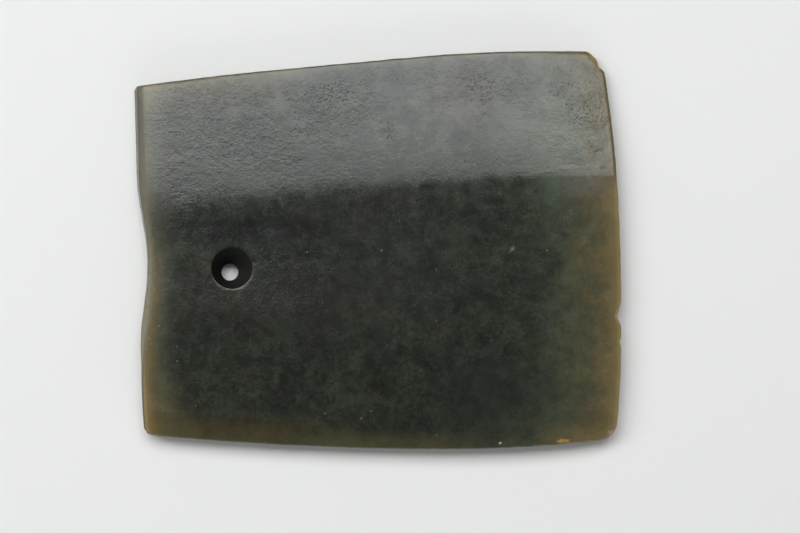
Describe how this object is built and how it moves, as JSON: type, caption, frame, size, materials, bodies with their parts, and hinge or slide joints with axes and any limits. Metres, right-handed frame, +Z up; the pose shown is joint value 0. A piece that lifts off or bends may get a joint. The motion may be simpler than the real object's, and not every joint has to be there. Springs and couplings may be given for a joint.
{
  "type": "broad chisel",
  "caption": "Broad flat ground stone blade with a long convex cutting edge, a shallow hollow in its butt and one tapered lashing hole.",
  "frame": {"origin": "under the middle of the blade, on the surface that its flat back lies on", "axes": "+X from the butt to the cutting edge, +Y across the blade to its thinner side, +Z up out of the front face"},
  "size_m": [0.165, 0.1346, 0.0096],
  "materials": {
    "nephrite": "satin"
  },
  "bodies": {
    "root": {"broad_chisel": "nephrite"}
  },
  "joints": []
}
